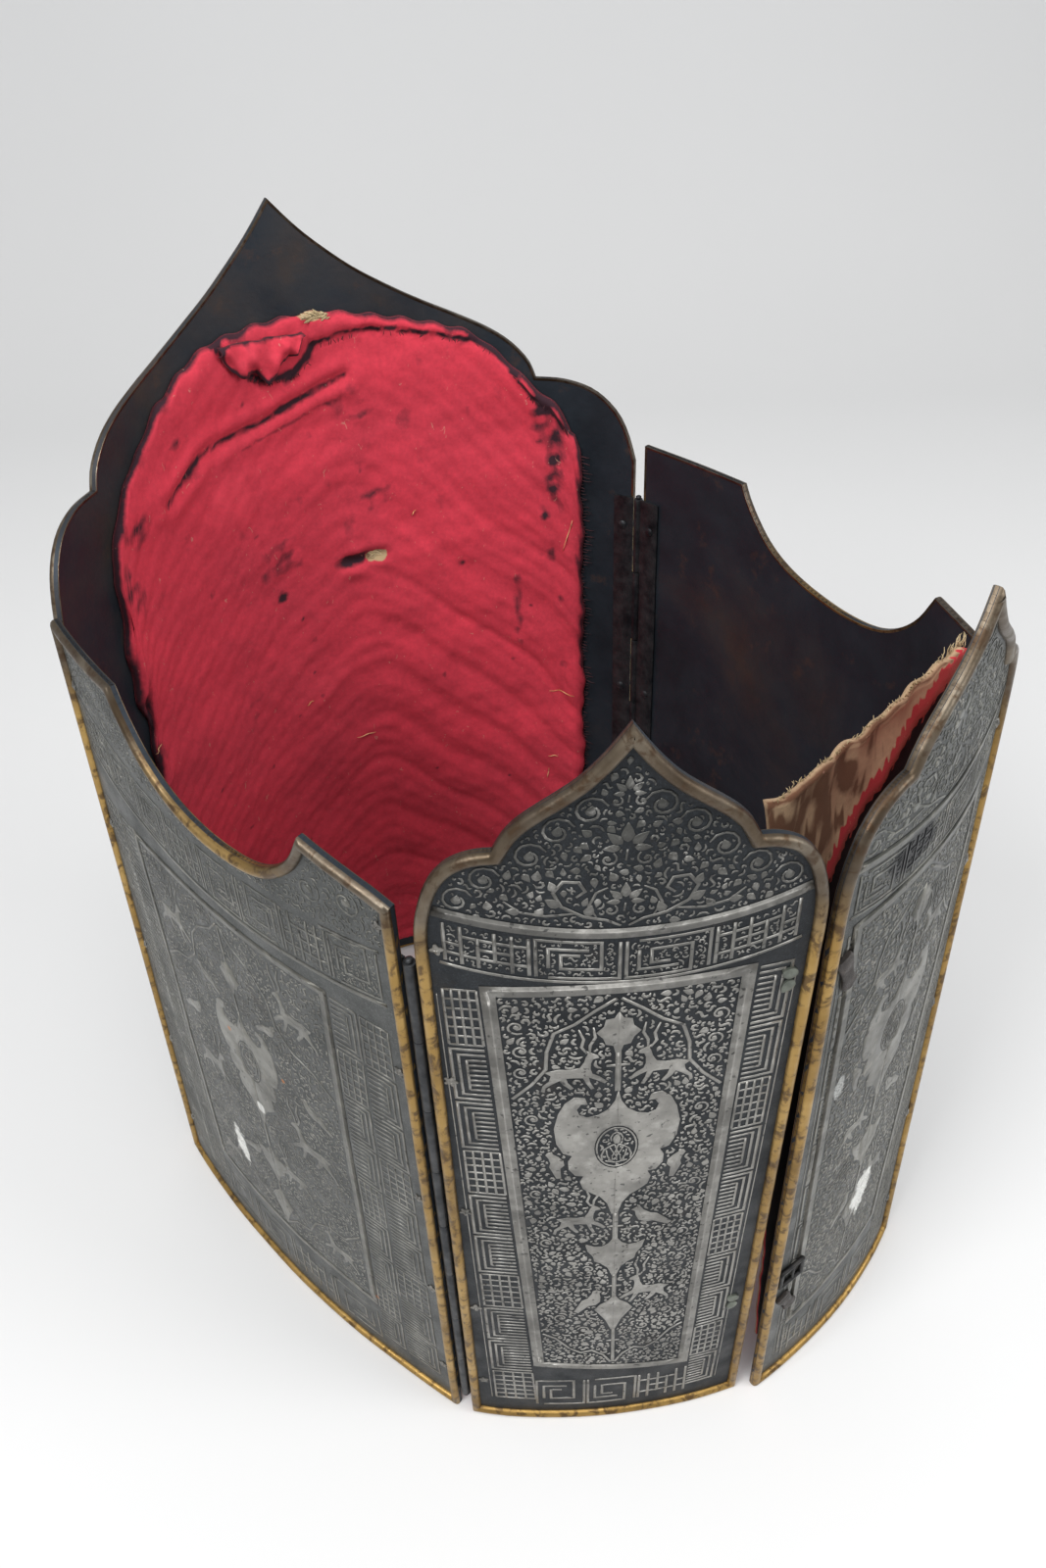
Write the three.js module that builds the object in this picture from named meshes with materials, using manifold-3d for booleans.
// Hinged five-plate cuirass, standing on its lower edges. Millimetres, +Z up.
// The front closure faces -Y, the back plate is at +Y, +X is to the right of a viewer in front.
import * as THREE from 'three';
import Module from 'manifold-3d';
import { mergeVertices } from 'three/addons/utils/BufferGeometryUtils.js';

const wasm = await Module();
wasm.setup();

// ---------------------------------------------------------------- driving dimensions
const PLATE_THICK = 1.8;       // steel plate
const RIM_WIDTH = 4.5;         // half-round brass binding on the outer face, along every edge
const RIM_HIGH = 2.2;
const GAP = 0.3;               // clearance between neighbouring pieces
const HINGE_EDGE = 3.5;        // from the hinge line to the plate's edge
const FREE_EDGE = 0.4;         // from the closure line to the plate's edge
const BARREL_R = 2.3;
const BORE_R = 1.35;
const PIN_R = 1.0;
const AXIS_IN = 1.3;           // the barrel's axis lies this far inside the plates' middle surface
const LEAF_THICK = 1.0;
const LEAF_WIDTH = 14;
const KNUCKLES = 8;
const LINING_THICK = 6;        // quilted pad on the back plate
const FLAP_THICK = 1.6;        // loose lining sheet behind the right front plate
const ORIGIN = [2.695, 76.228];   // bottom centre of the whole object, in the table's frame

// The six vertical lines of the ring at the floor, and how far each leans for one mm of height
const LINE = [
  // x       y       leanX   leanY
  [-154.3,  208.6,  0.040, -0.055],   // 0 back plate / left side plate hinge
  [-117.9,  -27.7,  0.004, -0.006],   // 1 left side plate / left front plate hinge
  [  -3.6, -106.7, -0.006, -0.005],   // 2 left front plate's free edge
  [   1.7, -112.9, -0.014,  0.010],   // 3 right front plate's free edge
  [ 128.7,  -99.6,  0.024,  0.062],   // 4 right front plate / right side plate hinge
  [ 149.0,  137.8,  0.019,  0.034],   // 5 right side plate / back plate hinge
];

// Top outlines: u from one edge to the middle or the other edge, z in mm, corner = 1 at a cusp or point
const FRONT_TOP = [
  // u      z      corner
  [0.000, 345.0, 1], [0.004, 357.0, 0], [0.020, 368.0, 0], [0.046, 377.5, 0], [0.082, 384.3, 0], [0.121, 388.2, 0],
  [0.162, 390.4, 0], [0.199, 391.2, 1], [0.222, 397.4, 0], [0.252, 402.6, 0], [0.294, 407.6, 0], [0.342, 412.6, 0],
  [0.388, 417.8, 0], [0.430, 424.0, 0], [0.464, 430.0, 0], [0.500, 437.0, 1],
];
const BACK_TOP = [
  [0.000, 371.0, 1], [0.010, 382.5, 0], [0.023, 392.0, 0], [0.042, 399.5, 0], [0.070, 405.8, 0], [0.109, 409.3, 0],
  [0.150, 409.8, 1], [0.158, 417.0, 0], [0.173, 423.5, 0], [0.193, 429.5, 0], [0.222, 435.5, 0], [0.262, 442.0, 0],
  [0.305, 449.0, 0], [0.350, 457.6, 0], [0.398, 468.4, 0], [0.444, 481.6, 0], [0.472, 491.0, 0], [0.500, 502.0, 1],
];
const SIDE_TOP = [          // u from the back hinge to the front hinge
  [0.000, 381.0, 1], [0.140, 380.6, 0], [0.285, 380.2, 1], [0.300, 373.5, 0], [0.326, 365.5, 0], [0.364, 357.0, 0],
  [0.412, 350.4, 0], [0.470, 345.8, 0], [0.535, 343.2, 0], [0.600, 342.2, 0], [0.662, 343.2, 0], [0.712, 346.6, 0],
  [0.755, 353.0, 0], [0.791, 361.6, 0], [0.822, 374.0, 1], [0.870, 371.4, 0], [0.920, 368.8, 0], [0.960, 366.4, 0], [1.000, 363.0, 1],
];
const LINING_TOP = [        // back lining, u across the back plate from its right hinge
  [0.090, 364.0], [0.112, 392.0], [0.155, 404.0], [0.192, 418.0], [0.245, 434.0], [0.345, 443.0], [0.450, 451.0],
  [0.540, 451.0], [0.620, 448.0], [0.665, 441.0], [0.735, 424.0], [0.805, 400.0], [0.846, 379.0], [0.866, 345.0],
];

// ---------------------------------------------------------------- surface of a plate
const mirrorTop = (rows) => rows.concat(rows.slice(0, -1).reverse().map(([u, z, k]) => [1 - u, z, k]));
function fine(rows) {                              // extra rows so that no facet of a curved plate is wide
  const out = [];
  rows.forEach((r, i) => {
    if (i) {
      const q = rows[i - 1], n = Math.ceil((r[0] - q[0]) / 0.075);
      for (let k = 1; k < n; k++) out.push([q[0] + (r[0] - q[0]) * k / n, q[1] + (r[1] - q[1]) * k / n, 0]);
    }
    out.push(r);
  });
  return out;
}
const reverseTop = (rows) => rows.map(([u, z, k]) => [1 - u, z, k]).reverse();

const PLATE = {
  left_side:   { a: 0, b: 1, sag: 0.050, top: fine(SIDE_TOP), ea: HINGE_EDGE, eb: HINGE_EDGE, color: 0x7d7b78 },
  left_front:  { a: 1, b: 2, sag: 0.062, top: fine(mirrorTop(FRONT_TOP)), ea: HINGE_EDGE, eb: FREE_EDGE, color: 0x7a776f },
  right_front: { a: 3, b: 4, sag: 0.058, top: fine(mirrorTop(FRONT_TOP)), ea: FREE_EDGE, eb: HINGE_EDGE, color: 0x7a776f },
  right_side:  { a: 4, b: 5, sag: 0.050, top: fine(reverseTop(SIDE_TOP)), ea: HINGE_EDGE, eb: HINGE_EDGE, color: 0x6f6d6a },
  back:        { a: 5, b: 0, sag: 0.296, top: fine(mirrorTop(BACK_TOP)), ea: HINGE_EDGE, eb: HINGE_EDGE, color: 0x4a4a4c },
};

function linePoint(i, z) {
  const [x, y, lx, ly] = LINE[i];
  return [x - ORIGIN[0] + lx * z, y - ORIGIN[1] + ly * z];
}

// Point on the plate's middle surface, its tangent along u and its outward normal
function surface(p, u, z) {
  const A = linePoint(p.a, z), E = linePoint(p.b, z);
  const cx = E[0] - A[0], cy = E[1] - A[1], c = Math.hypot(cx, cy);
  const t = [cx / c, cy / c], n = [t[1], -t[0]];
  const k = p.sag * c, R = (c * c / 4 + k * k) / (2 * k), half = Math.asin(c / 2 / R);
  const a = -half + 2 * half * u, s = c / 2 + R * Math.sin(a), h = R * Math.cos(a) - (R - k);
  return {
    pos: [A[0] + t[0] * s + n[0] * h, A[1] + t[1] * s + n[1] * h, z],
    tan: [t[0] * Math.cos(a) - n[0] * Math.sin(a), t[1] * Math.cos(a) - n[1] * Math.sin(a), 0],
    nor: [n[0] * Math.cos(a) + t[0] * Math.sin(a), n[1] * Math.cos(a) + t[1] * Math.sin(a), 0],
    width: 2 * half * R, radius: R,
  };
}
function at(p, u, z, off = 0) {
  const s = surface(p, u, z);
  return [s.pos[0] + s.nor[0] * off, s.pos[1] + s.nor[1] * off, z];
}

// ---------------------------------------------------------------- mesh helpers
function solid(verts, quads) {
  const idx = [];
  for (const q of quads) { idx.push(q[0], q[1], q[2]); if (q.length === 4) idx.push(q[0], q[2], q[3]); }
  let vol = 0;
  for (let i = 0; i < idx.length; i += 3) {
    const [a, b, c] = [verts[idx[i]], verts[idx[i + 1]], verts[idx[i + 2]]];
    vol += a[0] * (b[1] * c[2] - b[2] * c[1]) - a[1] * (b[0] * c[2] - b[2] * c[0]) + a[2] * (b[0] * c[1] - b[1] * c[0]);
  }
  if (vol < 0) for (let i = 0; i < idx.length; i += 3) [idx[i + 1], idx[i + 2]] = [idx[i + 2], idx[i + 1]];
  const g = new THREE.BufferGeometry();
  g.setAttribute('position', new THREE.Float32BufferAttribute(verts.flat(), 3));
  g.setIndex(idx);
  g.computeVertexNormals();
  return g;
}
// Rings of equal length, joined in order; closed = the last joins the first, otherwise both ends are capped
function rings(list, closed) {
  const m = list[0].length, verts = list.flat(), quads = [], n = list.length;
  for (let i = 0; i < (closed ? n : n - 1); i++) {
    const j = (i + 1) % n;
    for (let k = 0; k < m; k++) quads.push([i * m + k, i * m + (k + 1) % m, j * m + (k + 1) % m, j * m + k]);
  }
  if (!closed) {
    for (let k = 1; k < m - 1; k++) { quads.push([0, k + 1, k]); quads.push([(n - 1) * m, (n - 1) * m + k, (n - 1) * m + k + 1]); }
  }
  return solid(verts, quads);
}
function toManifold(g) {
  const q = g.clone();
  for (const k of Object.keys(q.attributes)) if (k !== 'position') q.deleteAttribute(k);
  const m = mergeVertices(q, 1e-4);
  return new wasm.Manifold(new wasm.Mesh({
    numProp: 3, vertProperties: new Float32Array(m.attributes.position.array), triVerts: new Uint32Array(m.index.array),
  }));
}
function fromManifold(man) {
  const m = man.getMesh(), g = new THREE.BufferGeometry();
  g.setAttribute('position', new THREE.BufferAttribute(new Float32Array(m.vertProperties), 3));
  g.setIndex(new THREE.BufferAttribute(new Uint32Array(m.triVerts), 1));
  g.computeVertexNormals();
  return g;
}

const group = new THREE.Group();
function add(name, geo, color, rough, metal) {
  const mesh = new THREE.Mesh(geo, new THREE.MeshStandardMaterial({ color, roughness: rough, metalness: metal }));
  mesh.name = name;
  group.add(mesh);
  return mesh;
}

// ---------------------------------------------------------------- plates
// The outline's u runs over the plate proper: 0 and 1 are its edges, just clear of the hinge or closure lines
function plateU(p, u) {
  const w = surface(p, 0.5, 0).width;
  return (p.ea + (w - p.ea - p.eb) * u) / w;
}
function plateSolid(p) {
  const t = PLATE_THICK / 2;
  return rings(p.top.map(([u, z]) => {
    const v = plateU(p, u);
    return [at(p, v, 0, -t), at(p, v, 0, t), at(p, v, z, t), at(p, v, z, -t)];
  }), false);
}

// ---------------------------------------------------------------- rims: half-round binding round the whole outline
function offsetLoop(loop, d) {
  const n = loop.length;
  return loop.map((q, i) => {
    const a = loop[(i + n - 1) % n], b = loop[(i + 1) % n];
    const e1 = [q[0] - a[0], q[1] - a[1]], e2 = [b[0] - q[0], b[1] - q[1]];
    const l1 = Math.hypot(...e1), l2 = Math.hypot(...e2);
    const n1 = [-e1[1] / l1, e1[0] / l1], n2 = [-e2[1] / l2, e2[0] / l2];
    const mx = n1[0] + n2[0], my = n1[1] + n2[1], ml = Math.hypot(mx, my);
    const cosHalf = Math.max(0.42, ml / 2);
    return [q[0] + mx / ml * d / cosHalf, q[1] + my / ml * d / cosHalf];
  });
}
function rimSolid(p) {
  const w = surface(p, 0.5, 0).width - p.ea - p.eb, loop = [];
  let last = -1;
  for (const [u] of p.top) if (u === 0 || u === 1 || (u - last > 0.05 && u < 0.96)) { loop.push([w * u, 0.35]); last = u; }   // along the floor
  for (const [u, z] of [...p.top].reverse()) loop.push([w * u, z]);                       // back along the top
  const base = PLATE_THICK / 2 + GAP + 0.1 + (0.075 * w) ** 2 / 8 / surface(p, 0.5, 0).radius;   // clear of the facets
  const SECTION = [[0, 0], [1, 0], [0.86, 0.72], [0.5, 1], [0.14, 0.72]];                 // across, height
  const inner = offsetLoop(loop, RIM_WIDTH);
  return rings(loop.map((o, i) => SECTION.map(([x, h]) => {
    const s = o[0] + (inner[i][0] - o[0]) * x, z = o[1] + (inner[i][1] - o[1]) * x;
    return at(p, plateU(p, s / w), z, base + RIM_HIGH * h);
  })), true);
}

// ---------------------------------------------------------------- hinges
// A knuckle hinge: each leaf lies on its plate's inner face and carries every second knuckle
const HINGES = [
  { line: 0, name: 'left_back_hinge', one: ['back', 'b'], two: ['left_side', 'a'], z0: 13, z1: 352 },
  { line: 1, name: 'left_front_hinge', one: ['left_side', 'b'], two: ['left_front', 'a'], z0: 13, z1: 338 },
  { line: 4, name: 'right_front_hinge', one: ['right_side', 'a'], two: ['right_front', 'b'], z0: 13, z1: 338 },
  { line: 5, name: 'right_back_hinge', one: ['back', 'a'], two: ['right_side', 'b'], z0: 13, z1: 352 },
];
function hingeFrame(h, z) {
  const P = linePoint(h.line, z);
  const dirs = [h.one, h.two].map(([name, end]) => {
    const p = PLATE[name], w = surface(p, 0.5, 0).width, step = LEAF_WIDTH / w;
    const u0 = end === 'a' ? 0 : 1, u1 = end === 'a' ? step : 1 - step;
    const a = at(p, u0, z), b = at(p, u1, z), l = Math.hypot(b[0] - a[0], b[1] - a[1]);
    const t = [(b[0] - a[0]) / l, (b[1] - a[1]) / l];
    const s = surface(p, u0, z).nor, n0 = [-t[1], t[0]];
    const n = n0[0] * s[0] + n0[1] * s[1] > 0 ? n0 : [-n0[0], -n0[1]];
    return { t, n };
  });
  let bx = dirs[0].n[0] + dirs[1].n[0], by = dirs[0].n[1] + dirs[1].n[1];
  const bl = Math.hypot(bx, by);
  return { axis: [P[0] - bx / bl * AXIS_IN, P[1] - by / bl * AXIS_IN], dirs, P };
}
function prism(poly, z0, z1, h) {                 // poly in floor coordinates relative to the hinge line, sheared with its lean
  const put = (q, z) => { const P = linePoint(h.line, z); return [P[0] + q[0], P[1] + q[1], z]; };
  return rings([poly.map((q) => put(q, z0)), poly.map((q) => put(q, z1))], false);
}
function leafBox(h, side, c, t0, t1, n0, n1, zs) { // box in the leaf's own directions, which turn a little with height
  return rings(zs.map((z) => {
    const fr = hingeFrame(h, z), { t, n } = fr.dirs[side], ct = c[0] * t[0] + c[1] * t[1];
    const L = (a, b) => [fr.P[0] + t[0] * a + n[0] * b, fr.P[1] + t[1] * a + n[1] * b, z];
    const lo = t0 + ct, hi = t1 === null ? LEAF_WIDTH : t1 + ct;
    return [L(lo, n0), L(hi, n0), L(hi, n1), L(lo, n1)];
  }), false);
}
function circle(c, r, steps = 8) {
  return Array.from({ length: steps }, (_, i) => { const a = 2 * Math.PI * i / steps; return [c[0] + r * Math.cos(a), c[1] + r * Math.sin(a)]; });
}
function barrelCentre(h) {
  const fr = hingeFrame(h, (h.z0 + h.z1) / 2);
  return [fr.axis[0] - fr.P[0], fr.axis[1] - fr.P[1]];
}
function leafSolid(h, side) {
  const c = barrelCentre(h);
  const nTop = -(PLATE_THICK / 2 + GAP + 0.3), nBot = nTop - LEAF_THICK;
  let man = toManifold(leafBox(h, side, c, BARREL_R + 0.45, null, nTop, nBot, [h.z0, (h.z0 + h.z1) / 2, h.z1]));
  const pitch = (h.z1 - h.z0) / KNUCKLES;
  for (let k = side; k < KNUCKLES; k += 2) {
    const a = h.z0 + k * pitch + (k ? 0.3 : 0), b = h.z0 + (k + 1) * pitch - (k < KNUCKLES - 1 ? 0.3 : 0);
    man = man.add(toManifold(prism(circle(c, BARREL_R), a, b, h)));
    man = man.add(toManifold(leafBox(h, side, c, 0.7, BARREL_R + 1.3, nTop - 0.12, nBot + 0.12, [a, b])));
  }
  man = man.subtract(toManifold(prism(circle(c, BORE_R), h.z0 - 5, h.z1 + 5, h)));
  return fromManifold(man);
}
function pinSolid(h) {
  const c = barrelCentre(h);
  return prism(circle(c, PIN_R, 6), h.z0 - 1, h.z1 + 1.5, h);
}

// ---------------------------------------------------------------- build plates, rims and hinges
for (const [name, p] of Object.entries(PLATE)) {
  add(`${name}_plate`, plateSolid(p), p.color, 0.45, 0.9);
  add(`${name}_rim`, rimSolid(p), 0xa8894f, 0.4, 0.9);
}
for (const h of HINGES) {
  add(`${h.name}_leaf_a`, leafSolid(h, 0), 0x35353a, 0.5, 0.9);
  add(`${h.name}_leaf_b`, leafSolid(h, 1), 0x35353a, 0.5, 0.9);
  add(`${h.name}_pin`, pinSolid(h), 0x2b2b2e, 0.5, 0.9);
}

// ---------------------------------------------------------------- linings
const inner = -(PLATE_THICK / 2 + 0.5);
{
  const p = PLATE.back;
  add('back_lining', rings(LINING_TOP.map(([u, z]) => [
    at(p, u, 12, inner - LINING_THICK), at(p, u, 12, inner), at(p, u, z, inner), at(p, u, z, inner - LINING_THICK),
  ]), false), 0xb4303c, 0.9, 0.0);
}
// Loose sheet behind the right front plate: it stands off the plate at its top and lies near it at its foot
const FLAP = { u0: 0.06, u1: 0.86, steps: 10, foot: 40, levels: [[40, 4], [150, 9], [260, 20], [372, 32]] };   // levels: height, stand-off
{
  const p = PLATE.right_front, lv = FLAP.levels, m = lv.length;
  const list = [];
  for (let i = 0; i <= FLAP.steps; i++) {
    const u = FLAP.u0 + (FLAP.u1 - FLAP.u0) * i / FLAP.steps;
    const ease = 1 - 0.55 * (i / FLAP.steps) ** 2;             // closer to the plate on its hinge side
    const down = lv.map(([z, s]) => at(p, u, z, -(PLATE_THICK / 2 + 1.2 + s * ease)));
    const up = [...lv].reverse().map(([z, s]) => at(p, u, z, -(PLATE_THICK / 2 + 1.2 + s * ease + FLAP_THICK)));
    list.push([...down, ...up]);
  }
  const n = list.length, k = 2 * m, verts = list.flat(), quads = [];
  for (let i = 0; i < n - 1; i++) for (let j = 0; j < k; j++) quads.push([i * k + j, i * k + (j + 1) % k, (i + 1) * k + (j + 1) % k, (i + 1) * k + j]);
  for (let j = 0; j < m - 1; j++) {
    quads.push([j, k - 1 - j, k - 2 - j, j + 1]);
    const o = (n - 1) * k;
    quads.push([o + j, o + j + 1, o + k - 2 - j, o + k - 1 - j]);
  }
  add('right_front_lining', solid(verts, quads), 0xb59a7c, 0.95, 0.0);
}

// ---------------------------------------------------------------- front closure
// A small piece lying on a plate's outer face: box of given sizes with its centre at (u, z), turned by a degrees
function onPlate(p, u, z, off, geo, turn = 0) {
  const s = surface(p, u, z);
  const m = new THREE.Matrix4().makeBasis(new THREE.Vector3(...s.tan), new THREE.Vector3(0, 0, 1), new THREE.Vector3(...s.nor).negate().multiplyScalar(-1));
  const g = geo.clone();
  g.rotateZ(turn * Math.PI / 180);
  g.applyMatrix4(m);
  g.translate(s.pos[0] + s.nor[0] * off, s.pos[1] + s.nor[1] * off, z);
  const pos = g.attributes.position.array, idx = g.index ? [...g.index.array] : null;
  if (s.tan[0] * s.nor[1] - s.tan[1] * s.nor[0] > 0 && idx) { /* left-handed basis: turn the faces over */
    for (let i = 0; i < idx.length; i += 3) [idx[i + 1], idx[i + 2]] = [idx[i + 2], idx[i + 1]];
    g.setIndex(idx);
  }
  return mergeVertices(stripped(g), 1e-4);
}
function stripped(g) {
  const q = g.clone();
  for (const k of Object.keys(q.attributes)) if (k !== 'position') q.deleteAttribute(k);
  return q;
}
function extrude(pts, depth, holes = []) {
  const sh = new THREE.Shape(pts.map(([x, y]) => new THREE.Vector2(x, y)));
  for (const h of holes) sh.holes.push(new THREE.Path(h.map(([x, y]) => new THREE.Vector2(x, y))));
  const g = mergeVertices(stripped(new THREE.ExtrudeGeometry(sh, { depth, bevelEnabled: false, steps: 1 })), 1e-4);
  return g;
}
const rect = (w, h, x = 0, y = 0) => [[x - w / 2, y - h / 2], [x + w / 2, y - h / 2], [x + w / 2, y + h / 2], [x - w / 2, y + h / 2]];
function petals(r, gap) {                          // two round petals one above the other, joined at a narrow waist
  const pts = [];
  for (let i = -3; i <= 10; i++) { const a = i * 18 * Math.PI / 180; pts.push([r * Math.cos(a), gap + r * Math.sin(a)]); }
  const low = pts.map(([x, y]) => [-x, -y]);
  return [...pts, ...low];
}
const face = PLATE_THICK / 2 + GAP;
const LF = PLATE.left_front, RF = PLATE.right_front;
const CLOSURE = [
  // name                 plate  u      z     off   width height
  ['upper_clasp_tab', LF, 0.925, 322, face],
  ['lower_clasp_tab', LF, 0.925, 96, face],
];
for (const [name, p, u, z, off] of CLOSURE) {
  add(name, onPlate(p, u, z, off, extrude(petals(2.9, 3.4), 1.3)), 0x35353a, 0.5, 0.9);
}
const STRAP = PLATE_THICK / 2 + GAP;
add('upper_strap', onPlate(RF, 0.088, 312, STRAP, extrude(rect(8, 22), 1.8)), 0x2a2420, 0.7, 0.0);
add('lower_strap', onPlate(RF, 0.105, 76, STRAP, extrude(rect(9, 18), 1.8)), 0x2a2420, 0.7, 0.0);
add('buckle_frame', onPlate(RF, 0.100, 103, STRAP + 1.2, extrude(rect(16, 15), 2.2, [rect(10.4, 9.6).reverse()])), 0x2f2f33, 0.5, 0.9);
add('buckle_prong', onPlate(RF, 0.105, 102, STRAP + 3.8, extrude(rect(1.8, 15), 1.3)), 0x2f2f33, 0.5, 0.9);

export default group;
